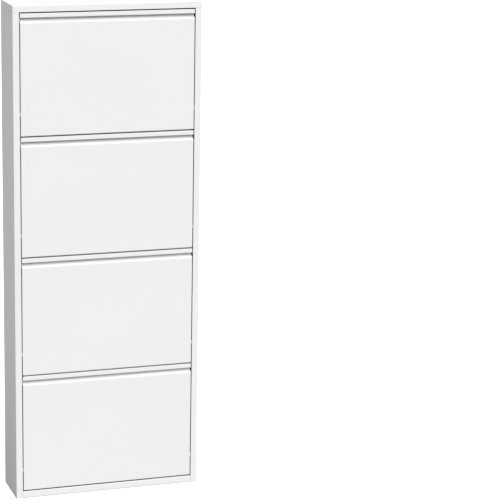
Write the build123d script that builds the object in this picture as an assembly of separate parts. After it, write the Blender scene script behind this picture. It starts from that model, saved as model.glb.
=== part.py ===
from build123d import *
import os

# Tall, shallow shoe cabinet in folded sheet steel with four tip-out flaps, modelled with the flaps shut.
# Millimetres. X runs to the right, Y to the back, Z up. The origin is on the floor under the middle of
# the case. A flap is drawn in its own frame, whose origin is the lower front edge of its front panel.

# Overall size
WIDTH = 510.0
DEPTH = 142.0
HEIGHT = 1340.0
CASE_SHEET = 0.8
FLAP_SHEET = 0.7
BACK_SHEET = 0.6
FIT = 0.05
CUT_MARGIN = 1.0

# Front: cap above, four equal flaps, base rail below
FLAP_COUNT = 4
CAP_HEIGHT = 17.5
FLAP_PITCH = 325.0
FLAP_GAP = 3.5
SIDE_GAP = 2.5
STILE_WIDTH = 17.5
JOINT_LINE = 0.4

# Case details
GLIDE_HEIGHT = 1.5
GLIDE_RADIUS = 7.0
GLIDE_STEM_RADIUS = 2.5
GLIDE_STEM_TOP = 6.0
GLIDE_INSET = 16.0
CAP_RETURN = 14.0
BEND = 1.2
HEM_RETURN = 2.4
REAR_FLANGE = 19.0
BACK_MARGIN = 1.9
BACK_TOP_OVERLAP = 12.0
RAIL_SETBACK = 44.0
RAIL_HEIGHT = 21.0
RAIL_FLANGE = 14.0
RAIL_DROP = 1.5
HINGE_RAIL_SHEET = 1.0
HINGE_RAIL_DEPTH = 26.0
BASE_TOP_RETURN = 6.0

# Flap front panel
LIP_HEIGHT = 11.0
LIP_DEPTH = 14.0
LIP_HEM = 2 * FLAP_SHEET
GROOVE_DEPTH = 11.0
GROOVE_HEIGHT = 14.5
PANEL_BOTTOM_RETURN = 12.0
PANEL_BEND = 1.5
GROOVE_PULL = (0.5, 1.1)

# Flap cheeks
BIN_DEPTH = 83.0
CHEEK_HEIGHT = 278.0
CHEEK_ROUND = 65.0
CHEEK_FLANGE = 12.0
CHEEK_FLANGE_END = 12.0
ROD_HOLE_RADIUS = 3.75
ROD_HOLE_Y = 38.5
ROD_HOLE_Z = 241.0

# Toe tray
TRAY_HEIGHT = 118.0
TRAY_HEM = 9.0
TAB_WIDTH = 12.0
REAR_TABS = ((8.0, 58.0), (84.0, 108.0))
FLOOR_TAB = (16.0, 62.0)
TRAY_RIVETS = ((76.0, 18.0), (76.0, 48.0), (76.0, 96.0), (26.0, 8.0), (54.0, 8.0))
RIVET_RADIUS = 2.0
RIVET_HEAD_RADIUS = 3.5
RIVET_TAIL_RADIUS = 2.7
RIVET_HEAD = 0.9

# Pivots: a headed pin in the hinge rail carries a flanged bush in the cheek
PIVOT_Y = 8.0
PIVOT_Z = 57.0
PIN_RADIUS = 3.0
PIN_HEAD_RADIUS = 5.0
PIN_HEAD = 1.5
BUSH_RADIUS = 4.0
BUSH_COLLAR_RADIUS = 6.0
BUSH_INNER_END = 2.0
RUNNING_FIT = 0.05
SIDE_PLAY = 0.3

# Stops: a sleeved pin on the cheek works in the channel behind the stile
STOP_Y = 72.0
STOP_Z = 67.0
STOP_RADIUS = 3.0
SLEEVE_RADIUS = 5.0
STOP_LENGTH = 12.0
STOP_HEAD_RADIUS = 4.5
STOP_HEAD = 1.4
BRACKET_SHEET = 1.5
BRACKET_HEIGHT = 20.0
BRACKET_FOOT = 20.0
BRACKET_LEG = 13.5

# Screws and wall fixing
SCREW_RADIUS = 1.6
SCREW_HEAD_RADIUS = 3.5
SCREW_HEAD = 1.1
SCREW_LENGTH = 8.0
BACK_SCREW_HEIGHTS = (30.0, 350.0, 680.0, 1010.0, 1296.0)
FLOOR_SCREW_PLACES = (-160.0, 0.0, 160.0)
FLOOR_SCREW_SETBACK = 18.2
CAP_SCREW_PLACES = (-40.0, 40.0)
WALL_HOLE_RADIUS = 3.0
WALL_HOLE_X = 200.0
WALL_HOLE_Z = 1293.0
WALL_PLATE = (40.0, 1.5, 12.0)

# Derived planes
HALF_WIDTH = WIDTH / 2
FRONT = -DEPTH / 2
BACK = DEPTH / 2
OPENING_HALF = HALF_WIDTH - STILE_WIDTH
FLAP_HALF = OPENING_HALF - SIDE_GAP
FLAP_HEIGHT = FLAP_PITCH - FLAP_GAP
CAP_BOTTOM = HEIGHT - CAP_HEIGHT
CASE_TOP = CAP_BOTTOM - JOINT_LINE
BASE_TOP = CAP_BOTTOM - FLAP_COUNT * FLAP_PITCH - FLAP_GAP
WALL_INNER = HALF_WIDTH - CASE_SHEET
BACK_FACE = BACK - HEM_RETURN
BACK_OUTER = BACK_FACE + BACK_SHEET
CHEEK_INNER = FLAP_HALF - FLAP_SHEET
CHANNEL_MIDDLE = (OPENING_HALF + WALL_INNER) / 2
BASE_MIDDLE = (GLIDE_HEIGHT + BASE_TOP) / 2
FLAPS = range(1, FLAP_COUNT + 1)


def block(x_span, y_span, z_span):
    """A box from the lowest and highest value along each axis."""
    spans = (x_span, y_span, z_span)
    middle = [(low + high) / 2 for low, high in spans]
    size = [high - low for low, high in spans]
    return Pos(*middle) * Box(*size)


def rod(start, end, radius):
    """A round bar between two points."""
    start, end = Vector(start), Vector(end)
    plane = Plane(origin=start, z_dir=end - start)
    return Solid.make_cylinder(radius, (end - start).length, plane)


def across(x_start, x_end, y, z, radius):
    """A round bar along X."""
    return rod((x_start, y, z), (x_end, y, z), radius)


def along_x(section, start, end):
    """Extrude a section drawn as (y, z) from one x to another."""
    return Pos(start, 0, 0) * extrude(Plane.YZ * section, amount=end - start)


def mirrored(shape):
    """The left-hand copy of a right-hand shape."""
    return mirror(shape, about=Plane.YZ)


def both_sides(shapes):
    """Right-hand shapes followed by their left-hand copies."""
    return list(shapes) + [mirrored(shape) for shape in shapes]


def flap_base(index):
    """Height of a flap's lower edge; flap 1 is the top one."""
    return CAP_BOTTOM - index * FLAP_PITCH


def in_flap(shape, index):
    """Move a shape from the flap's own frame to its place in the case."""
    return Pos(0, FRONT, flap_base(index)) * shape


def screw(seat, tip_direction):
    """A pan-head screw whose head sits on the seat point."""
    seat, direction = Vector(seat), Vector(tip_direction)
    head = rod(seat - direction * SCREW_HEAD, seat, SCREW_HEAD_RADIUS)
    return head + rod(seat, seat + direction * SCREW_LENGTH, SCREW_RADIUS)


def screw_hole(seat, tip_direction):
    """The clearance cut for one screw."""
    seat, reach = Vector(seat), Vector(tip_direction) * SCREW_LENGTH
    return rod(seat - reach, seat + reach, SCREW_RADIUS + FIT)


def round_edges(shape, radius, places, axis):
    """Fillet the straight edges along one axis that pass near the given places."""
    chosen = [
        edge
        for edge in shape.edges().filter_by(axis)
        if any((edge.center() - Vector(place)).length < radius for place in places)
    ]
    return fillet(chosen, radius)


def side_screw_seats():
    """Seats of the right-hand back panel screws."""
    return [(HALF_WIDTH - REAR_FLANGE / 2, BACK_OUTER, z) for z in BACK_SCREW_HEIGHTS]


def floor_back_seats():
    """Seats of the back panel screws in the floor plate."""
    return [(x, BACK_OUTER, BASE_MIDDLE) for x in FLOOR_SCREW_PLACES]


def cap_screw_seats():
    """Seats of the right-hand cap screws, under the side panel's top flange."""
    return [(CHANNEL_MIDDLE, y, CASE_TOP - CASE_SHEET) for y in CAP_SCREW_PLACES]


def floor_screw_seat():
    """Seat of the right-hand screw between hinge rail and floor plate."""
    return (OPENING_HALF + HINGE_RAIL_SHEET, FRONT + FLOOR_SCREW_SETBACK, BASE_MIDDLE)


def both_seats(seats):
    """Seat points on both sides of the case."""
    return [(side * x, y, z) for side in (1, -1) for x, y, z in seats]


def glide_places():
    """Centres of the right-hand floor glides."""
    return [(CHANNEL_MIDDLE, FRONT + GLIDE_INSET), (CHANNEL_MIDDLE, BACK - GLIDE_INSET)]


def pivot_height(index):
    """Height of a flap's pivot axis."""
    return flap_base(index) + PIVOT_Z


def make_side_panel():
    """Right-hand side panel: wall, front stile, hemmed rear edge, rear flange and two end flanges."""
    bottom = GLIDE_HEIGHT
    span = (bottom, CASE_TOP)
    end_flange_x = (OPENING_HALF + HINGE_RAIL_SHEET, WALL_INNER)
    end_flange_y = (FRONT + CASE_SHEET + HINGE_RAIL_SHEET, BACK_FACE - CASE_SHEET)
    panel = block((WALL_INNER, HALF_WIDTH), (FRONT, BACK), span)
    panel += block((OPENING_HALF, HALF_WIDTH), (FRONT, FRONT + CASE_SHEET), span)
    panel += block((WALL_INNER - CASE_SHEET, HALF_WIDTH), (BACK_FACE - CASE_SHEET, BACK), span)
    panel += block((HALF_WIDTH - REAR_FLANGE, HALF_WIDTH), (BACK_FACE - CASE_SHEET, BACK_FACE), span)
    panel += block(end_flange_x, end_flange_y, (bottom, bottom + CASE_SHEET))
    panel += block(end_flange_x, end_flange_y, (CASE_TOP - CASE_SHEET, CASE_TOP))
    middle = (bottom + CASE_TOP) / 2
    corners = [(HALF_WIDTH, FRONT, middle), (OPENING_HALF, FRONT, middle)]
    panel = round_edges(panel, BEND / 2, corners, Axis.Z)
    for seat in side_screw_seats():
        panel -= screw_hole(seat, (0, -1, 0))
    for seat in cap_screw_seats():
        panel -= screw_hole(seat, (0, 0, 1))
    for x, y in glide_places():
        panel -= rod((x, y, 0), (x, y, GLIDE_STEM_TOP), GLIDE_STEM_RADIUS + FIT)
    return panel


def make_hinge_rail():
    """Right-hand hinge rail: an angle behind the stile that carries the flaps' pivot pins."""
    span = (GLIDE_HEIGHT, CASE_TOP - CASE_SHEET)
    behind_stile = (FRONT + CASE_SHEET, FRONT + CASE_SHEET + HINGE_RAIL_SHEET)
    inner_x = (OPENING_HALF, OPENING_HALF + HINGE_RAIL_SHEET)
    rail = block((OPENING_HALF, WALL_INNER), behind_stile, span)
    rail += block(inner_x, (FRONT + CASE_SHEET, FRONT + HINGE_RAIL_DEPTH), span)
    start, end = OPENING_HALF - CUT_MARGIN, inner_x[1] + CUT_MARGIN
    for index in FLAPS:
        rail -= across(start, end, FRONT + PIVOT_Y, pivot_height(index), PIN_RADIUS + FIT)
    return rail - screw_hole(floor_screw_seat(), (-1, 0, 0))


def make_top_cap():
    """Lid over the whole top, with skirts all round and inward returns on three sides."""
    cap = block((-HALF_WIDTH, HALF_WIDTH), (FRONT, BACK), (CAP_BOTTOM, HEIGHT))
    cap = fillet(cap.edges().filter_by(Axis.Z) + cap.edges().group_by(Axis.Z)[-1], BEND)
    inside_x = (-WALL_INNER, WALL_INNER)
    inside_y = (FRONT + CASE_SHEET, BACK - CASE_SHEET)
    cap -= block(inside_x, inside_y, (CAP_BOTTOM + CASE_SHEET, HEIGHT - CASE_SHEET))
    open_x = WALL_INNER - CAP_RETURN
    open_z = (CAP_BOTTOM, CAP_BOTTOM + CAP_HEIGHT / 2)
    cap -= block((-open_x, open_x), (FRONT + CAP_RETURN, BACK - CASE_SHEET), open_z)
    cap -= block(inside_x, (BACK_FACE - CASE_SHEET, BACK - CASE_SHEET), open_z)
    for x, y, z in both_seats(cap_screw_seats()):
        cap -= screw_hole((x, y, z), (0, 0, 1))
    return cap


def make_base_rail():
    """Front rail between the stiles, with a short return over the floor plate and one below."""
    half = OPENING_HALF - JOINT_LINE
    depth = (FRONT, FRONT + CAP_RETURN)
    rail = block((-half, half), depth, (GLIDE_HEIGHT, BASE_TOP))
    rail = round_edges(rail, BEND, [(0, FRONT, BASE_TOP)], Axis.X)
    inside_y = (FRONT + CASE_SHEET, FRONT + CAP_RETURN)
    above_return = GLIDE_HEIGHT + CASE_SHEET
    rail -= block((-half, half), inside_y, (above_return, BASE_TOP - CASE_SHEET))
    return rail - block((-half, half), (FRONT + BASE_TOP_RETURN, BACK), (above_return, HEIGHT))


def make_floor_plate():
    """Floor of the case under the base rail's return, with flanges down its sides and back."""
    half = OPENING_HALF - JOINT_LINE
    top = BASE_TOP - CASE_SHEET
    bottom = GLIDE_HEIGHT + CASE_SHEET
    inner_half = half - CASE_SHEET
    front = FRONT + CASE_SHEET
    plate = block((-half, half), (front, BACK_FACE), (bottom, top))
    inside_y = (front, BACK_FACE - CASE_SHEET)
    plate -= block((-inner_half, inner_half), inside_y, (bottom, top - CASE_SHEET))
    for x, y, z in floor_back_seats():
        plate -= screw_hole((x, y, z), (0, -1, 0))
    x, y, z = floor_screw_seat()
    plate -= screw_hole((x, y, z), (-1, 0, 0))
    plate -= screw_hole((-x, y, z), (1, 0, 0))
    relief_half = HALF_WIDTH - REAR_FLANGE - JOINT_LINE
    rear_corner_y = (BACK_FACE - CASE_SHEET - JOINT_LINE, BACK_FACE)
    for x_span in ((relief_half, half), (-half, -relief_half)):
        plate -= block(x_span, rear_corner_y, (0, HEIGHT))
    return plate


def make_back_panel():
    """Flat back sheet, screwed to the side panels' rear flanges and the floor plate."""
    half = HALF_WIDTH - BACK_MARGIN
    span = (GLIDE_HEIGHT, CAP_BOTTOM + BACK_TOP_OVERLAP)
    panel = block((-half, half), (BACK_FACE, BACK_OUTER), span)
    for seat in both_seats(side_screw_seats()) + floor_back_seats():
        panel -= screw_hole(seat, (0, -1, 0))
    return panel - wall_hole_cuts()


def wall_hole_cuts():
    """Two bores through the back for the wall screws."""
    start, end = BACK_FACE - WALL_PLATE[1] - CUT_MARGIN, BACK + CUT_MARGIN
    bores = [
        rod((x, start, WALL_HOLE_Z), (x, end, WALL_HOLE_Z), WALL_HOLE_RADIUS)
        for x in (-WALL_HOLE_X, WALL_HOLE_X)
    ]
    return Compound(bores)


def make_wall_plates():
    """Stiffening plates inside the back, round the two wall-fixing holes."""
    width, thickness, height = WALL_PLATE
    plates = []
    for x in (-WALL_HOLE_X, WALL_HOLE_X):
        plate = block(
            (x - width / 2, x + width / 2),
            (BACK_FACE - thickness, BACK_FACE),
            (WALL_HOLE_Z - height / 2, WALL_HOLE_Z + height / 2),
        )
        plates.append(plate - wall_hole_cuts())
    return plates


def make_top_rail():
    """Cross rail set back under the cap: a channel with a tab at each end."""
    top = CASE_TOP - RAIL_DROP
    front = FRONT + RAIL_SETBACK
    rail = block((-WALL_INNER, WALL_INNER), (front, front + RAIL_FLANGE), (top - RAIL_HEIGHT, top))
    cavity_x = WALL_INNER - CASE_SHEET
    rail -= block(
        (-cavity_x, cavity_x),
        (front + CASE_SHEET, front + RAIL_FLANGE),
        (top - RAIL_HEIGHT + CASE_SHEET, top - CASE_SHEET),
    )
    return rail


def make_pivot_pins():
    """One headed pin per flap and side, riveted into the hinge rail."""
    outer = OPENING_HALF + HINGE_RAIL_SHEET
    inner = CHEEK_INNER - BUSH_INNER_END - SIDE_PLAY
    pins = []
    for index in FLAPS:
        z = pivot_height(index)
        y = FRONT + PIVOT_Y
        pin = across(inner, outer, y, z, PIN_RADIUS)
        pin += across(outer, outer + PIN_HEAD, y, z, PIN_HEAD_RADIUS)
        pin += across(inner - PIN_HEAD, inner, y, z, PIN_HEAD_RADIUS)
        pins.append(pin)
    return both_sides(pins)


def make_stop_brackets():
    """Angle clips on the side walls that the shut flaps' stop sleeves rest against."""
    front = FRONT + STOP_Y + SLEEVE_RADIUS + SIDE_PLAY
    clips = []
    for index in FLAPS:
        middle = flap_base(index) + STOP_Z
        z_span = (middle - BRACKET_HEIGHT / 2, middle + BRACKET_HEIGHT / 2)
        clip = block((WALL_INNER - BRACKET_LEG, WALL_INNER), (front, front + BRACKET_SHEET), z_span)
        clip += block((WALL_INNER - BRACKET_SHEET, WALL_INNER), (front, front + BRACKET_FOOT), z_span)
        clips.append(clip)
    return both_sides(clips)


def make_back_screws():
    """Screws through the back panel into the side panels and the floor plate."""
    seats = both_seats(side_screw_seats()) + floor_back_seats()
    return [screw(seat, (0, -1, 0)) for seat in seats]


def make_cap_screws():
    """Screws up through the side panels' top flanges into the cap's returns."""
    return [screw(seat, (0, 0, 1)) for seat in both_seats(cap_screw_seats())]


def make_floor_screws():
    """Screws through the hinge rails into the floor plate's side flanges."""
    return both_sides([screw(floor_screw_seat(), (-1, 0, 0))])


def make_glides():
    """Plastic glides pressed into the side panels' bottom flanges."""
    glides = []
    for x, y in glide_places():
        glide = rod((x, y, 0), (x, y, GLIDE_HEIGHT), GLIDE_RADIUS)
        glide += rod((x, y, GLIDE_HEIGHT), (x, y, GLIDE_STEM_TOP), GLIDE_STEM_RADIUS)
        glides.append(glide)
    return both_sides(glides)


def make_front_panel():
    """Front sheet of a flap, in the flap's frame: flat face, finger groove and hemmed lip open below."""
    top = FLAP_HEIGHT
    lip_bottom = top - LIP_HEIGHT
    skin = FLAP_SHEET
    face = block((-FLAP_HALF, FLAP_HALF), (0, skin), (0, lip_bottom - GROOVE_HEIGHT))
    bottom = block((-CHEEK_INNER + FIT, CHEEK_INNER - FIT), (0, PANEL_BOTTOM_RETURN), (0, skin))
    groove = along_x(groove_section(), -FLAP_HALF, FLAP_HALF)
    lip = block((-FLAP_HALF, FLAP_HALF), (0, LIP_DEPTH), (lip_bottom, top))
    lip = round_edges(lip, PANEL_BEND, [(0, 0, top), (0, LIP_DEPTH, top)], Axis.X)
    lip = round_edges(lip, BEND, [(0, 0, lip_bottom)], Axis.X)
    hollow_x = (-FLAP_HALF + skin, FLAP_HALF - skin)
    lip -= block(hollow_x, (LIP_HEM, LIP_DEPTH - skin), (lip_bottom, top - skin))
    wall = block((-FLAP_HALF, FLAP_HALF), (GROOVE_DEPTH, GROOVE_DEPTH + skin), (lip_bottom, top - skin))
    return face + bottom + groove + lip + wall


def groove_section():
    """Section of the sloping back of the finger groove, blended into the flat face."""
    lip_bottom = FLAP_HEIGHT - LIP_HEIGHT
    start = lip_bottom - GROOVE_HEIGHT
    skin = FLAP_SHEET
    front_line = groove_line(0, start, lip_bottom)
    rear_end = (GROOVE_DEPTH + skin, lip_bottom)
    rear_line = groove_line(skin, start, lip_bottom)
    top_line = Line((GROOVE_DEPTH, lip_bottom), rear_end)
    bottom_line = Line((0, start), (skin, start))
    return make_face([front_line, top_line, rear_line, bottom_line])


def groove_line(y, start, end):
    """One face of the groove's back: upright at both ends, set back by the groove's depth between."""
    upright = (0, 1)
    points = ((y, start), (y + GROOVE_DEPTH, end))
    return Spline(*points, tangents=[upright, upright], tangent_scalars=GROOVE_PULL)


def cheek_section():
    """Cheek outline: a tall plate with one large round at the upper rear."""
    plate = Rectangle(BIN_DEPTH - FLAP_SHEET, CHEEK_HEIGHT, align=(Align.MIN, Align.MIN))
    plate = Pos(FLAP_SHEET, 0) * plate
    upper_rear = plate.vertices().group_by(Axis.Y)[-1].sort_by(Axis.X)[-1]
    return fillet(upper_rear, CHEEK_ROUND)


def make_cheek():
    """Right-hand cheek with its welding flange, pivot hole, rod hole, stop pin hole and rivet holes."""
    plate = along_x(cheek_section(), CHEEK_INNER, FLAP_HALF)
    flange_z = (CHEEK_FLANGE_END, CHEEK_HEIGHT - CHEEK_FLANGE_END)
    plate += block((CHEEK_INNER - CHEEK_FLANGE, CHEEK_INNER), (FLAP_SHEET, 2 * FLAP_SHEET), flange_z)
    start, end = CHEEK_INNER - CUT_MARGIN, FLAP_HALF + CUT_MARGIN
    plate -= across(start, end, PIVOT_Y, PIVOT_Z, BUSH_RADIUS + FIT)
    plate -= across(start, end, ROD_HOLE_Y, ROD_HOLE_Z, ROD_HOLE_RADIUS)
    plate -= across(start, end, STOP_Y, STOP_Z, STOP_RADIUS + FIT)
    for y, z in TRAY_RIVETS:
        plate -= across(start, end, y, z, RIVET_RADIUS + FIT)
    return plate


def make_toe_tray():
    """Bottom and rear sheet of the bin, with end tabs riveted to the cheeks."""
    skin = FLAP_SHEET
    half = CHEEK_INNER - FIT
    rear = BIN_DEPTH - skin
    tray = block((-half, half), (2 * skin, rear), (skin, 2 * skin))
    tray += block((-half, half), (rear - skin, rear), (skin, TRAY_HEIGHT))
    tray += block((-half, half), (rear - TRAY_HEM, rear), (TRAY_HEIGHT - skin, TRAY_HEIGHT))
    for side in (-1, 1):
        tab_x = sorted((side * half, side * (half - skin)))
        for tab_z in REAR_TABS:
            tray += block(tab_x, (rear - TAB_WIDTH, rear), tab_z)
        tray += block(tab_x, FLOOR_TAB, (skin, skin + TAB_WIDTH))
    for y, z in TRAY_RIVETS:
        tray -= across(-FLAP_HALF, FLAP_HALF, y, z, RIVET_RADIUS + FIT)
    return tray


def make_pivot_bushes():
    """Flanged nylon bushes in the cheeks; the collar keeps the cheek off the hinge rail."""
    collar_end = OPENING_HALF - SIDE_PLAY
    bush = across(CHEEK_INNER - BUSH_INNER_END, FLAP_HALF, PIVOT_Y, PIVOT_Z, BUSH_RADIUS)
    bush += across(FLAP_HALF, collar_end, PIVOT_Y, PIVOT_Z, BUSH_COLLAR_RADIUS)
    start, end = CHEEK_INNER - BUSH_INNER_END - CUT_MARGIN, collar_end + CUT_MARGIN
    bush -= across(start, end, PIVOT_Y, PIVOT_Z, PIN_RADIUS + RUNNING_FIT)
    return both_sides([bush])


def make_stop_pins():
    """Headed steel pins through the cheeks into the channels behind the stiles."""
    pin = across(CHEEK_INNER, FLAP_HALF + STOP_LENGTH, STOP_Y, STOP_Z, STOP_RADIUS)
    pin += across(CHEEK_INNER - STOP_HEAD, CHEEK_INNER, STOP_Y, STOP_Z, STOP_HEAD_RADIUS)
    return both_sides([pin])


def make_stop_sleeves():
    """Rubber sleeves on the stop pins, silent against the stile in front and the clip behind."""
    start, end = FLAP_HALF, FLAP_HALF + STOP_LENGTH
    sleeve = across(start, end, STOP_Y, STOP_Z, SLEEVE_RADIUS)
    sleeve -= across(start - CUT_MARGIN, end + CUT_MARGIN, STOP_Y, STOP_Z, STOP_RADIUS + FIT)
    return both_sides([sleeve])


def make_rivets():
    """Blind rivets that hold the toe tray between the cheeks."""
    inner = CHEEK_INNER - FIT - FLAP_SHEET
    rivets = []
    for y, z in TRAY_RIVETS:
        rivet = across(inner, FLAP_HALF, y, z, RIVET_RADIUS)
        rivet += across(FLAP_HALF, FLAP_HALF + RIVET_HEAD, y, z, RIVET_HEAD_RADIUS)
        rivet += across(inner - RIVET_HEAD, inner, y, z, RIVET_TAIL_RADIUS)
        rivets.append(rivet)
    return both_sides(rivets)


def case_nodes():
    """Every node of the fixed case."""
    side_panel = make_side_panel()
    hinge_rail = make_hinge_rail()
    return {
        "side_panel_right": [side_panel],
        "side_panel_left": [mirrored(side_panel)],
        "hinge_rail_right": [hinge_rail],
        "hinge_rail_left": [mirrored(hinge_rail)],
        "top_cap": [make_top_cap()],
        "base_rail": [make_base_rail()],
        "floor_plate": [make_floor_plate()],
        "back_panel": [make_back_panel()],
        "wall_plates": make_wall_plates(),
        "top_rail": [make_top_rail()],
        "pivot_pins": make_pivot_pins(),
        "stop_brackets": make_stop_brackets(),
        "back_screws": make_back_screws(),
        "cap_screws": make_cap_screws(),
        "floor_screws": make_floor_screws(),
        "floor_glides": make_glides(),
    }


def flap_nodes():
    """Every node of one flap, in the flap's own frame."""
    right = make_cheek()
    return {
        "front_panel": [make_front_panel()],
        "cheek_right": [right],
        "cheek_left": [mirrored(right)],
        "toe_tray": [make_toe_tray()],
        "pivot_bushes": make_pivot_bushes(),
        "stop_pins": make_stop_pins(),
        "stop_sleeves": make_stop_sleeves(),
        "tray_rivets": make_rivets(),
    }


def write_node(name, solids):
    """Write one node as a STEP file; a node of several pieces keeps them as separate solids."""
    shape = solids[0] if len(solids) == 1 else Compound(children=[Compound([s]) for s in solids])
    export_step(shape, f"parts/{name}.step")


def main():
    os.makedirs("parts", exist_ok=True)
    for name, solids in case_nodes().items():
        write_node(name, solids)
    flap = flap_nodes()
    for index in FLAPS:
        for name, solids in flap.items():
            placed = [in_flap(solid, index) for solid in solids]
            write_node(f"flap_{index}_{name}", placed)


main()
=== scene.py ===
import math

import bmesh
import bpy
from mathutils import Matrix, Vector


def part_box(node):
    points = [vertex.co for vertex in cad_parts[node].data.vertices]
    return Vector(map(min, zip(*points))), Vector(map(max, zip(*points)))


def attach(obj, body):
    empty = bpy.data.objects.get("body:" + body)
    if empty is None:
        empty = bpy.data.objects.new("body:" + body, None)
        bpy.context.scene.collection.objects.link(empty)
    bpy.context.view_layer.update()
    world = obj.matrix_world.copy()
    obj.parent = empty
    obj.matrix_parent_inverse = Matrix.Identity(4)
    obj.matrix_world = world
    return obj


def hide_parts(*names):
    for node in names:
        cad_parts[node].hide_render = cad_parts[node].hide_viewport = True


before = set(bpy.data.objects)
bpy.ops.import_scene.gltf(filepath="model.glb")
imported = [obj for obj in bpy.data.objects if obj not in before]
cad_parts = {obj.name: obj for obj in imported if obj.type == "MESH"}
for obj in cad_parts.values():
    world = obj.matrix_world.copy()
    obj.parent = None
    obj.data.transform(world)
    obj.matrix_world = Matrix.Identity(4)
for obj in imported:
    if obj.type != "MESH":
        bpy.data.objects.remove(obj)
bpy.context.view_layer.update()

MM = 0.001
FLAPS = (1, 2, 3, 4)
SIDES = {"right": 1, "left": -1}

# Sheet metal: skin thickness and outside bend radii
CASE_SHEET = 0.8 * MM
FLAP_SHEET = 0.7 * MM
FOLD = 1.3 * MM
CAP_FOLD = 1.8 * MM
HEM_FOLD = 0.75 * MM
ARC_STEPS = 6

# Case: free space beside flanges, the cap's inward returns, and the rail and floor ends
FLANGE_FRONT = 1.1 * MM
FLANGE_SIDE = 1.0 * MM
CAP_RETURN = 14.0 * MM
CAP_CLEAR = 0.05 * MM
RAIL_RETURN = 6 * MM
FLOOR_CLEAR = 0.5 * MM
FLOOR_RELIEF = 0.4 * MM

# Flap front: lip and finger groove, measured from the panel's top edge
LIP_HEIGHT = 11.0 * MM
GROOVE_HEIGHT = 14.5 * MM
GROOVE_DEPTH = 11.0 * MM
GROOVE_PULL = (9.0 * MM, 20.0 * MM)
LIP_FOLD = 0.9 * MM
PANEL_FOLD = 2.0 * MM
LIP_HEM = 1.4 * MM
HEM_ROUND = 0.65 * MM
PANEL_RETURN = 12.0 * MM
PANEL_FOOT = 5 * FOLD
PLATE_INSET = 0.2 * MM
CURVE_STEPS = 14

# Toe tray: rear hem and end tabs, measured from the tray's own lowest front corner
TRAY_HEM = 9 * MM
TAB_WIDTH = 12 * MM
REAR_TABS = ((7.3 * MM, 57.3 * MM), (83.3 * MM, 107.3 * MM))
FLOOR_TAB = (14.6 * MM, 60.6 * MM)

# Pan-head screws: head height, shank radii at thread crest and root, thread pitch and cross recess
SCREW_HEAD = 1.1 * MM
SCREW_CREST, SCREW_ROOT = 1.6 * MM, 1.3 * MM
SCREW_PITCH = 0.9 * MM
CROSS_REACH, CROSS_HALF, CROSS_DEPTH = 1.8 * MM, 0.4 * MM, 0.8 * MM
CROSS_TAPER = 0.7
HEAD_STEPS = ((0.66, 0.0), (0.83, 0.16), (0.94, 0.38), (1.0, 0.64), (1.0, 1.0))
ROUND_STEPS = 24
WELD = 0.001 * MM

WHITE, GREY = 0, 1

# Radius within which an edge counts as exposed to wear
EDGE_WEAR = 0.5 * MM

# Studio: key light direction, strength and softness, surround and floor
KEY_FROM = (0.40, -0.85, 0.95)
KEY_STRENGTH = 2.52
KEY_SPREAD = 60.0
SURROUND = 0.65
GLOSS_SURROUND = 0.9
FLOOR_BOUNCE = 0.32
FLOOR_GLOW = 0.5
FLOOR_SIZE = 60.0
FLOOR_DROP = 0.2 * MM

# Camera: place, lens, and turn as yaw, pitch and roll in degrees
CAMERA_PLACE = (-1.438, -5.442, 2.050)
CAMERA_LENS = 154.0
CAMERA_TURN = (18.635, 13.811, 0.975)


# ---------------------------------------------------------------- section lines

def arc(centre, start, end, steps):
    """Points from start to end round a centre, the short way."""
    first, last = start - centre, end - centre
    turn = first.angle_signed(last)
    return [centre + Matrix.Rotation(-turn * i / steps, 2) @ first for i in range(steps + 1)]


def rounded(points, radius):
    """A polyline whose inner corners are arcs; radius is one number or one for each inner corner."""
    points = [Vector(p) for p in points]
    corners = points[1:-1]
    radii = radius if isinstance(radius, (list, tuple)) else [radius] * len(corners)
    line = [points[0]]
    for before, corner, after, r in zip(points, corners, points[2:], radii):
        if r == 0:
            line.append(corner)
            continue
        back, ahead = (before - corner).normalized(), (after - corner).normalized()
        half = back.angle(ahead) / 2
        reach = r / math.tan(half)
        centre = corner + (back + ahead).normalized() * (r / math.sin(half))
        line += arc(centre, corner + back * reach, corner + ahead * reach, ARC_STEPS)
    line.append(points[-1])
    return line


def hermite(start, end, start_pull, end_pull):
    """A smooth curve between two points with given pulls at its ends."""
    start, end, start_pull, end_pull = (Vector(v) for v in (start, end, start_pull, end_pull))
    curve = []
    for i in range(CURVE_STEPS + 1):
        t = i / CURVE_STEPS
        curve.append(
            start * (2 * t**3 - 3 * t**2 + 1)
            + start_pull * (t**3 - 2 * t**2 + t)
            + end * (-2 * t**3 + 3 * t**2)
            + end_pull * (t**3 - t**2)
        )
    return curve


def offset(line, distance):
    """The line moved to its left by a distance, with mitred corners."""
    moved = []
    for i, point in enumerate(line):
        before = line[max(i - 1, 0)]
        after = line[min(i + 1, len(line) - 1)]
        first = (point - before) if i else (after - point)
        last = (after - point) if i < len(line) - 1 else first
        n1 = Vector((-first.y, first.x)).normalized()
        n2 = Vector((-last.y, last.x)).normalized()
        middle = (n1 + n2).normalized()
        moved.append(point + middle * (distance / max(middle.dot(n1), 0.3)))
    return moved


# ---------------------------------------------------------------- meshes

def along(axis, point, place):
    """A section point (a, b) at a place along an axis: X takes (y, z), Y takes (x, z), Z takes (x, y)."""
    if axis == "X":
        return (place, point[0], point[1])
    if axis == "Y":
        return (point[0], place, point[1])
    return (point[0], point[1], place)


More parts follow.
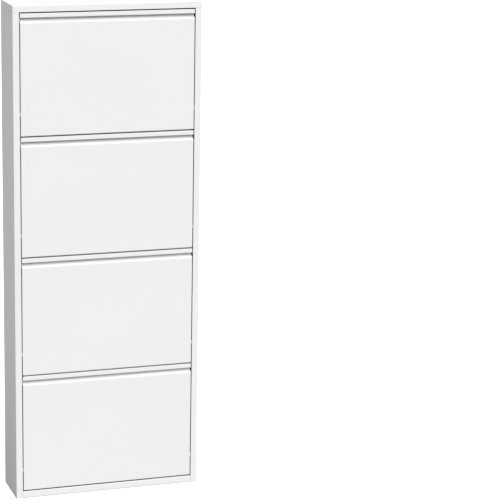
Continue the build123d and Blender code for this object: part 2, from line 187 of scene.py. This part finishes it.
def add_section(mesh, runs, axis, span):
    """A closed section pulled along an axis; it is given as runs of points, each with its material slot."""
    section = [(point, slot) for points, slot in runs for point in points]
    rings = [[mesh.verts.new(along(axis, point, place)) for point, _ in section] for place in span]
    for i, (_, slot) in enumerate(section):
        j = (i + 1) % len(section)
        face = mesh.faces.new((rings[0][i], rings[0][j], rings[1][j], rings[1][i]))
        face.material_index = slot
    ends = [mesh.faces.new(ring) for ring in rings]
    for face in ends:
        face.normal_update()
        face.material_index = runs[0][1]
    bmesh.ops.triangulate(mesh, faces=ends)


def add_strip(mesh, outer, thickness, axis, span, slots=(WHITE, GREY)):
    """A folded sheet of even thickness whose outer line is given, with one slot for each side."""
    add_section(mesh, [(outer, slots[0]), (offset(outer, thickness)[::-1], slots[1])], axis, span)


def add_block(mesh, low, high, slot=GREY):
    """A closed box between two corners."""
    made = bmesh.ops.create_cube(mesh, size=1.0)["verts"]
    low, high = Vector(low), Vector(high)
    for vert in made:
        vert.co = Vector(a * (0.5 + c) + b * (0.5 - c) for a, b, c in zip(high, low, vert.co))
    for face in {face for vert in made for face in vert.link_faces}:
        face.material_index = slot


def thicken(mesh, thickness):
    """Gives an open white skin its thickness inward, with a grey inner face and grey cut edges."""
    bmesh.ops.recalc_face_normals(mesh, faces=mesh.faces[:])
    outside = set(mesh.faces)
    bmesh.ops.solidify(mesh, geom=mesh.faces[:], thickness=thickness)
    for face in mesh.faces:
        if face not in outside:
            face.material_index = GREY


def new_object(name, mesh, materials, smooth_angle=40):
    """Turns the built mesh into a shaded object in the scene."""
    bmesh.ops.recalc_face_normals(mesh, faces=mesh.faces[:])
    data = bpy.data.meshes.new(name)
    mesh.to_mesh(data)
    mesh.free()
    for material in materials:
        data.materials.append(material)
    data.polygons.foreach_set("use_smooth", [True] * len(data.polygons))
    data.set_sharp_from_angle(angle=math.radians(smooth_angle))
    piece = bpy.data.objects.new(name, data)
    bpy.context.scene.collection.objects.link(piece)
    weighted = piece.modifiers.new("even_shading", "WEIGHTED_NORMAL")
    weighted.keep_sharp = True
    weighted.weight = 90
    return piece


def place_piece(piece, body, slot, *nodes):
    """Rides a piece on its body in place of CAD nodes; the slot argument is not used."""
    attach(piece, body)
    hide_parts(*nodes)


# ---------------------------------------------------------------- materials

class Shader:
    """A material with a Principled surface and short calls for adding nodes in object space."""

    def __init__(self, name):
        self.material = bpy.data.materials.new(name)
        self.material.use_nodes = True
        self.tree = self.material.node_tree
        self.surface = self.tree.nodes["Principled BSDF"]
        self.place = self.node("ShaderNodeTexCoord").outputs["Object"]

    def node(self, kind, **values):
        made = self.tree.nodes.new(kind)
        for name, value in values.items():
            setattr(made, name, value)
        return made

    def link(self, source, target):
        self.tree.links.new(source, target)

    def set(self, **values):
        """Sets plain values on the surface's own sockets; underscores stand for spaces."""
        for name, value in values.items():
            self.surface.inputs[name.replace("_", " ")].default_value = value

    def noise(self, scale, detail):
        made = self.node("ShaderNodeTexNoise")
        made.inputs["Scale"].default_value = scale
        made.inputs["Detail"].default_value = detail
        self.link(self.place, made.inputs["Vector"])
        return made.outputs["Fac"]

    def span(self, value, low, high, new_low=0.0, new_high=1.0):
        made = self.node("ShaderNodeMapRange")
        limits = {"From Min": low, "From Max": high, "To Min": new_low, "To Max": new_high}
        for name, number in limits.items():
            made.inputs[name].default_value = number
        self.link(value, made.inputs["Value"])
        return made.outputs["Result"]

    def math(self, operation, first, second):
        made = self.node("ShaderNodeMath", operation=operation)
        for socket, value in zip(made.inputs, (first, second)):
            if isinstance(value, (int, float)):
                socket.default_value = value
            else:
                self.link(value, socket)
        return made.outputs["Value"]

    def mix(self, factor, first, second):
        """Colour mix; first and second are colours or sockets."""
        made = self.node("ShaderNodeMix", data_type="RGBA")
        self.link(factor, made.inputs["Factor"])
        sockets = [s for s in made.inputs if s.type == "RGBA"]
        for socket, value in zip(sockets, (first, second)):
            if isinstance(value, tuple):
                socket.default_value = (*value, 1.0)
            else:
                self.link(value, socket)
        return next(s for s in made.outputs if s.type == "RGBA")

    def bump(self, height, strength, distance, below=None):
        made = self.node("ShaderNodeBump")
        made.inputs["Strength"].default_value = strength
        made.inputs["Distance"].default_value = distance
        self.link(height, made.inputs["Height"])
        if below is not None:
            self.link(below, made.inputs["Normal"])
        return made.outputs["Normal"]

    def edge_mask(self, radius):
        """1 on edges sharper than the radius, 0 on flats."""
        bevel = self.node("ShaderNodeBevel", samples=4)
        bevel.inputs["Radius"].default_value = radius
        geometry = self.node("ShaderNodeNewGeometry")
        dot = self.node("ShaderNodeVectorMath", operation="DOT_PRODUCT")
        self.link(bevel.outputs["Normal"], dot.inputs[0])
        self.link(geometry.outputs["Normal"], dot.inputs[1])
        return self.span(dot.outputs["Value"], 0.98, 0.8)

    def finish(self, colour, roughness, normal):
        self.link(colour, self.surface.inputs["Base Color"])
        self.link(roughness, self.surface.inputs["Roughness"])
        self.link(normal, self.surface.inputs["Normal"])
        return self.material


def enamel(name, light, dark, worn, gloss=(0.20, 0.27), coat=0.35):
    """Baked enamel on sheet steel: faint tone drift, fine specks, orange peel, panel wave and worn edges."""
    return enamel_finish(Shader(name), light, dark, worn, gloss, coat)


def enamel_finish(shader, light, dark, worn, gloss, coat):
    """The enamel layers over one pair of tones, which may be colours or sockets."""
    base = shader.mix(shader.span(shader.noise(3.0, 2.0), 0.2, 0.8), light, dark)
    specks = shader.span(shader.noise(1500.0, 1.0), 0.72, 0.80, 0.0, 0.15)
    base = shader.mix(specks, base, worn)
    scuffs = shader.span(shader.noise(160.0, 4.0), 0.50, 0.70)
    wear = shader.math("MULTIPLY", shader.edge_mask(EDGE_WEAR), scuffs)
    base = shader.mix(shader.math("MULTIPLY", wear, 0.25), base, worn)
    roughness = shader.span(shader.noise(9.0, 3.0), 0.1, 0.9, *gloss)
    wave = shader.bump(shader.noise(4.0, 0.0), 0.05, 0.003)
    peel = shader.bump(shader.noise(520.0, 1.0), 0.04, 0.0003, wave)
    shader.set(Coat_Weight=coat, Coat_Roughness=0.06, Specular_IOR_Level=0.5)
    return shader.finish(base, roughness, peel)


def zinc(name):
    """Bright zinc plate with a faint crystal pattern and handling marks."""
    shader = Shader(name)
    cells = shader.node("ShaderNodeTexVoronoi")
    cells.inputs["Scale"].default_value = 260.0
    shader.link(shader.place, cells.inputs["Vector"])
    tone = shader.span(cells.outputs["Distance"], 0.0, 0.9)
    base = shader.mix(tone, (0.70, 0.71, 0.70), (0.52, 0.53, 0.54))
    stain = shader.span(shader.noise(90.0, 4.0), 0.55, 0.75, 0.0, 0.5)
    base = shader.mix(stain, base, (0.40, 0.38, 0.33))
    roughness = shader.span(shader.noise(240.0, 3.0), 0.3, 0.7, 0.24, 0.44)
    normal = shader.bump(shader.noise(700.0, 2.0), 0.15, 0.0002)
    shader.set(Metallic=1.0)
    return shader.finish(base, roughness, normal)


def plastic(name, light, dark, gloss, grain):
    """Moulded plastic or rubber with a fine grain and a slightly uneven tone."""
    shader = Shader(name)
    base = shader.mix(shader.span(shader.noise(60.0, 3.0), 0.35, 0.65), light, dark)
    roughness = shader.span(shader.noise(300.0, 2.0), 0.3, 0.7, *gloss)
    normal = shader.bump(shader.noise(grain, 2.0), 0.25, 0.0002)
    return shader.finish(base, roughness, normal)


WHITE_TONES = ((0.862, 0.862, 0.862), (0.850, 0.850, 0.851))
GREY_TONES = ((0.158, 0.158, 0.160), (0.148, 0.148, 0.150))
white_enamel = enamel("white_enamel", *WHITE_TONES, (0.66, 0.66, 0.66))
grey_enamel = enamel("grey_enamel", *GREY_TONES, (0.25, 0.25, 0.25), (0.14, 0.20), 0.6)
zinc_plate = zinc("zinc_plate")
nylon = plastic("natural_nylon", (0.80, 0.79, 0.75), (0.74, 0.73, 0.69), (0.35, 0.5), 500.0)
rubber = plastic("black_rubber", (0.030, 0.030, 0.031), (0.020, 0.020, 0.021), (0.6, 0.8), 900.0)
black_plastic = plastic("black_plastic", (0.045, 0.045, 0.046), (0.03, 0.03, 0.031), (0.4, 0.55), 700.0)
SHEET = (white_enamel, grey_enamel)


# ---------------------------------------------------------------- case

def build_side(side, sign):
    """Side panel: white wall and stile, hemmed rear edge, grey inside, and its end flanges."""
    node = f"side_panel_{side}"
    low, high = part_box(node)
    wall = max(abs(low.x), abs(high.x))
    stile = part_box("hinge_rail_right")[0].x
    flange_end = min(abs(low.x), abs(high.x))
    front, back = low.y, high.y
    back_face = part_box("back_panel")[0].y
    hem = 2 * CASE_SHEET
    outer = rounded(
        [(stile, front), (wall, front), (wall, back), (wall - hem, back),
         (wall - hem, back_face), (flange_end, back_face)],
        [FOLD, HEM_FOLD, HEM_FOLD, 0],
    )
    inner = rounded(
        [(stile, front + CASE_SHEET), (wall - CASE_SHEET, front + CASE_SHEET),
         (wall - CASE_SHEET, back_face - CASE_SHEET), (flange_end, back_face - CASE_SHEET)],
        [FOLD - CASE_SHEET, FOLD],
    )
    mesh = bmesh.new()
    add_section(mesh, [(outer, WHITE), (inner[::-1], GREY)], "Z", (low.z, high.z))
    behind = front + CASE_SHEET + FLANGE_FRONT
    inside = (stile + FLANGE_SIDE, wall - CASE_SHEET)
    for z_low in (low.z, high.z - CASE_SHEET):
        add_block(mesh, (inside[0], behind, z_low), (inside[1], back_face - CASE_SHEET, z_low + CASE_SHEET))
    if sign < 0:
        bmesh.ops.scale(mesh, vec=(-1, 1, 1), verts=mesh.verts[:])
    piece = new_object(f"side_shell_{side}", mesh, SHEET)
    place_piece(piece, "case", "case_enamel", node)


def build_cap():
    """Top cap: a folded lid with rounded edges, grey inside, with returns along three sides."""
    low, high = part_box("top_cap")
    mesh = bmesh.new()
    add_block(mesh, low, high, WHITE)
    bottom = [f for f in mesh.faces if f.normal.z < -0.5 or f.calc_center_median().z < low.z + 1e-6]
    bmesh.ops.delete(mesh, geom=bottom, context="FACES_ONLY")
    folds = [e for e in mesh.edges if not e.is_boundary]
    bmesh.ops.bevel(mesh, geom=folds, offset=CAP_FOLD, segments=5, affect="EDGES", profile=0.5)
    for face in mesh.faces:
        face.material_index = WHITE
    thicken(mesh, CASE_SHEET)
    skirt = CASE_SHEET + CAP_CLEAR
    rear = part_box("back_panel")[0].y - CASE_SHEET
    z = (low.z, low.z + CASE_SHEET)
    for sign in (1, -1):
        xs = sorted((sign * (high.x - skirt), sign * (high.x - CAP_RETURN)))
        add_block(mesh, (xs[0], low.y + skirt, z[0]), (xs[1], rear, z[1]))
    add_block(
        mesh,
        (low.x + CAP_RETURN, low.y + skirt, z[0]),
        (high.x - CAP_RETURN, low.y + CAP_RETURN, z[1]),
    )
    piece = new_object("cap_shell", mesh, SHEET)
    place_piece(piece, "case", "case_enamel", "top_cap")


def build_base_rail():
    """White rail between the stiles with its short returns."""
    low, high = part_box("base_rail")
    outer = rounded(
        [(low.y + RAIL_RETURN, high.z), (low.y, high.z), (low.y, low.z), (high.y, low.z)],
        [FOLD, FOLD],
    )
    mesh = bmesh.new()
    add_strip(mesh, outer, CASE_SHEET, "X", (low.x, high.x))
    piece = new_object("base_rail_shell", mesh, SHEET)
    place_piece(piece, "case", "case_enamel", "base_rail")


def build_floor():
    """Grey floor plate with its side and rear flanges."""
    low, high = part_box("floor_plate")
    outer = rounded([(low.x, low.z), (low.x, high.z), (high.x, high.z), (high.x, low.z)], FOLD)
    rear = high.y - CASE_SHEET - FLOOR_CLEAR
    mesh = bmesh.new()
    add_strip(mesh, outer, -CASE_SHEET, "Y", (low.y, rear), (GREY, GREY))
    relief = abs(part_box("side_panel_right")[0].x) - FLOOR_RELIEF
    add_block(mesh, (-relief, rear, low.z), (relief, high.y, high.z), GREY)
    piece = new_object("floor_shell", mesh, (grey_enamel, grey_enamel))
    place_piece(piece, "case", "inner_enamel", "floor_plate")


# ---------------------------------------------------------------- flaps

def groove_line(y, start, end):
    """The groove's back in section: upright at both ends, set back by the groove's depth between."""
    return hermite((y, start), (y + GROOVE_DEPTH, end), (0, GROOVE_PULL[0]), (0, GROOVE_PULL[1]))


def panel_runs(low, high):
    """Section of a flap's front sheet: face and groove, grey recess behind the lip (its grey is painted
    shade that darkens the hollow under the lip), lip, and grey rear.
    """
    front, rear = low.y, high.y
    inside = front + FLAP_SHEET
    lip = high.z - LIP_HEIGHT
    roof = high.z - FLAP_SHEET
    start = lip - GROOVE_HEIGHT
    wall = front + GROOVE_DEPTH
    hem = front + LIP_HEM
    above = low.z + PANEL_FOOT
    bottom = rounded([(front + PANEL_RETURN, low.z), (front, low.z), (front, above)], PANEL_FOLD)
    # The recess is grey as painted shade: it darkens the hollow under the lip.
    recess = [(wall, lip), (wall, roof), (hem, roof)]
    lip_line = rounded(
        [(hem, lip + 2 * LIP_HEM), (hem, lip), (front, lip), (front, high.z), (rear, high.z), (rear, lip)],
        [HEM_ROUND, HEM_ROUND, LIP_FOLD, FOLD],
    )
    back = rear - FLAP_SHEET
    behind = [(back, lip), (back, roof), (wall + FLAP_SHEET, roof)] + groove_line(inside, start, lip)[::-1]
    base = low.z + FLAP_SHEET
    foot = rounded([(inside, above), (inside, base), (front + PANEL_RETURN, base)], PANEL_FOLD - FLAP_SHEET)
    face = bottom + groove_line(front, start, lip)[:-1]
    return [(face, WHITE), (recess, GREY), (lip_line, WHITE), (behind + foot, GREY)]


def build_front_panel(index):
    """Flap front: the folded sheet and a small plate closing each end of the lip."""
    node = f"flap_{index}_front_panel"
    low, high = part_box(node)
    mesh = bmesh.new()
    add_section(mesh, panel_runs(low, high), "X", (low.x, high.x))
    plate_low = (low.y + FLAP_SHEET, high.z - LIP_HEIGHT + FLAP_SHEET)
    plate_high = (high.y - FLAP_SHEET, high.z - FLAP_SHEET)
    for sign in (1, -1):
        xs = sorted((sign * (high.x - PLATE_INSET), sign * (high.x - PLATE_INSET - FLAP_SHEET)))
        add_block(mesh, (xs[0], *plate_low), (xs[1], *plate_high), WHITE)
    piece = new_object(f"flap_{index}_face", mesh, SHEET)
    place_piece(piece, f"flap_{index}", "flap_enamel", node)


def build_toe_tray(index):
    """Bottom and rear sheet of a flap's bin, with the tabs that join it to the cheeks."""
    node = f"flap_{index}_toe_tray"
    low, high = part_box(node)
    outer = rounded(
        [(low.y, low.z), (high.y, low.z), (high.y, high.z), (high.y - TRAY_HEM, high.z)],
        [FOLD, FOLD],
    )
    mesh = bmesh.new()
    add_strip(mesh, outer, FLAP_SHEET, "X", (low.x, high.x), (GREY, GREY))
    back = high.y - FLAP_SHEET
    front, end = FLOOR_TAB
    for sign in (1, -1):
        xs = sorted((sign * high.x, sign * (high.x - FLAP_SHEET)))
        for bottom, top in REAR_TABS:
            add_block(mesh, (xs[0], back - TAB_WIDTH, low.z + bottom), (xs[1], back, low.z + top))
        add_block(mesh, (xs[0], low.y + front, low.z + FLAP_SHEET), (xs[1], low.y + end, low.z + TAB_WIDTH))
    piece = new_object(f"flap_{index}_bin", mesh, (grey_enamel, grey_enamel))
    place_piece(piece, f"flap_{index}", "inner_enamel", node)


# ---------------------------------------------------------------- screws

def islands(data):
    """The separate solids of a mesh, each as a list of its points."""
    mesh = bmesh.new()
    mesh.from_mesh(data)
    bmesh.ops.remove_doubles(mesh, verts=mesh.verts[:], dist=WELD)
    waiting = set(mesh.verts)
    solids = []
    while waiting:
        reached = [waiting.pop()]
        for vert in reached:
            for edge in vert.link_edges:
                other = edge.other_vert(vert)
                if other in waiting:
                    waiting.remove(other)
                    reached.append(other)
        solids.append([vert.co.copy() for vert in reached])
    mesh.free()
    return solids


def screw_frame(points):
    """Head top centre, outward direction, head radius and full length of one screw solid."""
    low = Vector(min(p[i] for p in points) for i in range(3))
    high = Vector(max(p[i] for p in points) for i in range(3))
    size, centre = high - low, (low + high) / 2
    axis = max(range(3), key=lambda i: size[i])
    across = [i for i in range(3) if i != axis]
    wide = [p for p in points if math.hypot(*(p[i] - centre[i] for i in across)) > 1.5 * SCREW_CREST]
    outward = Vector((0, 0, 0))
    outward[axis] = 1 if sum(p[axis] for p in wide) / len(wide) > centre[axis] else -1
    return centre + outward * (size[axis] / 2), outward, size[across[0]] / 2, size[axis]


def screw_profile(radius, length):
    """Radius and height steps of a screw from its flat top down to its tip."""
    profile = [(radius * r, -SCREW_HEAD * h) for r, h in HEAD_STEPS]
    profile.append((SCREW_CREST, -SCREW_HEAD))
    depth = SCREW_HEAD + SCREW_PITCH
    while depth < length - 2 * SCREW_PITCH:
        profile += [(SCREW_CREST, -depth), (SCREW_ROOT, -depth - SCREW_PITCH / 2)]
        depth += SCREW_PITCH
    return profile + [(SCREW_CREST, -depth), (SCREW_ROOT / 3, -length)]


def add_screw(mesh, points):
    """A pan-head screw with a cross recess and turned thread, in place of one plain solid."""
    top, outward, radius, length = screw_frame(points)
    turn = outward.to_track_quat("Z", "Y")

    def put(x, y, z):
        return mesh.verts.new(top + turn @ Vector((x, y, z)))

    angles = [2 * math.pi * i / ROUND_STEPS for i in range(ROUND_STEPS)]
    profile = screw_profile(radius, length)
    rings = [[put(r * math.cos(a), r * math.sin(a), z) for a in angles] for r, z in profile]
    for upper, lower in zip(rings, rings[1:]):
        for i in range(ROUND_STEPS):
            mesh.faces.new((upper[i - 1], upper[i], lower[i], lower[i - 1]))
    tip = mesh.faces.new(rings[-1])
    a, b = CROSS_REACH, CROSS_HALF
    arm = [(a, -b), (a, b), (b, b)]
    cross = []
    for _ in range(4):
        cross += arm
        arm = [(-y, x) for x, y in arm]
    rim = [put(x, y, 0) for x, y in cross]
    floor = [put(x * CROSS_TAPER, y * CROSS_TAPER, -CROSS_DEPTH) for x, y in cross]
    for i in range(len(cross)):
        mesh.faces.new((rim[i - 1], rim[i], floor[i], floor[i - 1]))
    edges = [mesh.edges.get((loop[i - 1], loop[i])) for loop in (rim, rings[0]) for i in range(len(loop))]
    bmesh.ops.triangle_fill(mesh, edges=edges, use_beauty=True, normal=outward)
    ends = [tip, mesh.faces.new(floor)]
    for face in ends:
        face.normal_update()
    bmesh.ops.triangulate(mesh, faces=ends)


def build_screws(node):
    """One piece for all the screws of a node, each in the place of its plain solid."""
    mesh = bmesh.new()
    for points in islands(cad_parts[node].data):
        add_screw(mesh, points)
    piece = new_object(f"{node}_turned", mesh, (zinc_plate,), 30)
    place_piece(piece, "case", "zinc_steel", node)


# ---------------------------------------------------------------- carried-over CAD nodes

def two_sided(name):
    """Enamel that is white on the side facing away from the cabinet's middle and grey elsewhere."""
    shader = Shader(name)
    coordinates = shader.node("ShaderNodeTexCoord")
    place = shader.node("ShaderNodeSeparateXYZ")
    facing = shader.node("ShaderNodeSeparateXYZ")
    shader.link(coordinates.outputs["Object"], place.inputs[0])
    shader.link(coordinates.outputs["Normal"], facing.inputs[0])
    outward = shader.math("MULTIPLY", shader.math("SIGN", place.outputs["X"], 0.0), facing.outputs["X"])
    outside = shader.math("GREATER_THAN", outward, 0.5)
    tones = [shader.mix(outside, grey, white) for grey, white in zip(GREY_TONES, WHITE_TONES)]
    return enamel_finish(shader, *tones, (0.45, 0.45, 0.45), (0.17, 0.23), 0.5)


def paint_node(node, material):
    """Puts one finished material on a CAD node that keeps its own shape."""
    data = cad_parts[node].data
    data.materials.clear()
    data.materials.append(material)


def paint_cad_nodes():
    cheek_enamel = two_sided("cheek_enamel")
    finishes = {
        grey_enamel: ("hinge_rail_right", "hinge_rail_left", "back_panel", "top_rail", "wall_plates"),
        zinc_plate: ("pivot_pins", "stop_brackets"),
        black_plastic: ("floor_glides",),
    }
    for material, nodes in finishes.items():
        for node in nodes:
            paint_node(node, material)
    for index in FLAPS:
        for side in SIDES:
            paint_node(f"flap_{index}_cheek_{side}", cheek_enamel)
        paint_node(f"flap_{index}_pivot_bushes", nylon)
        paint_node(f"flap_{index}_stop_sleeves", rubber)
        paint_node(f"flap_{index}_stop_pins", zinc_plate)
        paint_node(f"flap_{index}_tray_rivets", zinc_plate)


# ---------------------------------------------------------------- stage

def build_floor_stage():
    """A plain pale studio floor that stays white where nothing shades it."""
    shader = Shader("studio_floor")
    tone = shader.span(shader.noise(1.5, 3.0), 0.3, 0.7)
    seen = shader.node("ShaderNodeLightPath").outputs["Is Camera Ray"]
    lit = shader.mix(tone, (0.93, 0.93, 0.93), (0.92, 0.92, 0.92))
    base = shader.mix(seen, (FLOOR_BOUNCE,) * 3, lit)
    roughness = shader.span(shader.noise(6.0, 3.0), 0.3, 0.7, 0.75, 0.9)
    normal = shader.bump(shader.noise(200.0, 2.0), 0.05, 0.0005)
    shader.set(Emission_Color=(1, 1, 1, 1), Specular_IOR_Level=0.1)
    glow = shader.math("MULTIPLY", seen, FLOOR_GLOW)
    shader.link(glow, shader.surface.inputs["Emission Strength"])
    bpy.ops.mesh.primitive_plane_add(size=FLOOR_SIZE, location=(0, 0, -FLOOR_DROP))
    floor = bpy.context.object
    floor.name = "studio_floor"
    floor.data.materials.append(shader.finish(base, roughness, normal))


def build_lights():
    """One broad soft key from the front right and an even white surround."""
    key = bpy.data.lights.new("key", "SUN")
    key.energy = KEY_STRENGTH
    key.angle = math.radians(KEY_SPREAD)
    lamp = bpy.data.objects.new("key", key)
    lamp.rotation_mode = "QUATERNION"
    lamp.rotation_quaternion = (-Vector(KEY_FROM)).to_track_quat("-Z", "Y")
    lamp.location = Vector(KEY_FROM) * 4
    bpy.context.scene.collection.objects.link(lamp)
    world = bpy.data.worlds.new("white_studio")
    bpy.context.scene.world = world
    world.use_nodes = True
    tree = world.node_tree
    background = tree.nodes["Background"]
    path = tree.nodes.new("ShaderNodeLightPath")
    level = None
    for ray, strength in (("Is Glossy Ray", GLOSS_SURROUND), ("Is Camera Ray", 1.0)):
        step = tree.nodes.new("ShaderNodeMapRange")
        step.inputs["To Min"].default_value = SURROUND
        step.inputs["To Max"].default_value = strength
        tree.links.new(path.outputs[ray], step.inputs["Value"])
        if level:
            tree.links.new(level, step.inputs["To Min"])
        level = step.outputs["Result"]
    tree.links.new(level, background.inputs["Strength"])
    background.inputs["Color"].default_value = (1, 1, 1, 1)


def build_camera():
    """The cabinet seen from its left front and a little above, standing left of the frame's middle."""
    data = bpy.data.cameras.new("camera")
    data.lens = CAMERA_LENS
    data.sensor_width = 36.0
    camera = bpy.data.objects.new("camera", data)
    yaw, pitch, roll = (math.radians(angle) for angle in CAMERA_TURN)
    turn = Matrix.Rotation(-yaw, 4, "Z") @ Matrix.Rotation(math.pi / 2 - pitch, 4, "X")
    turn @= Matrix.Rotation(roll, 4, "Z")
    camera.matrix_world = Matrix.Translation(CAMERA_PLACE) @ turn
    bpy.context.scene.collection.objects.link(camera)
    bpy.context.scene.camera = camera


for side, sign in SIDES.items():
    build_side(side, sign)
build_cap()
build_base_rail()
build_floor()
for index in FLAPS:
    build_front_panel(index)
    build_toe_tray(index)
for node in ("back_screws", "cap_screws", "floor_screws"):
    build_screws(node)
paint_cad_nodes()
build_floor_stage()
build_lights()
build_camera()
bpy.context.scene.view_settings.view_transform = "Standard"
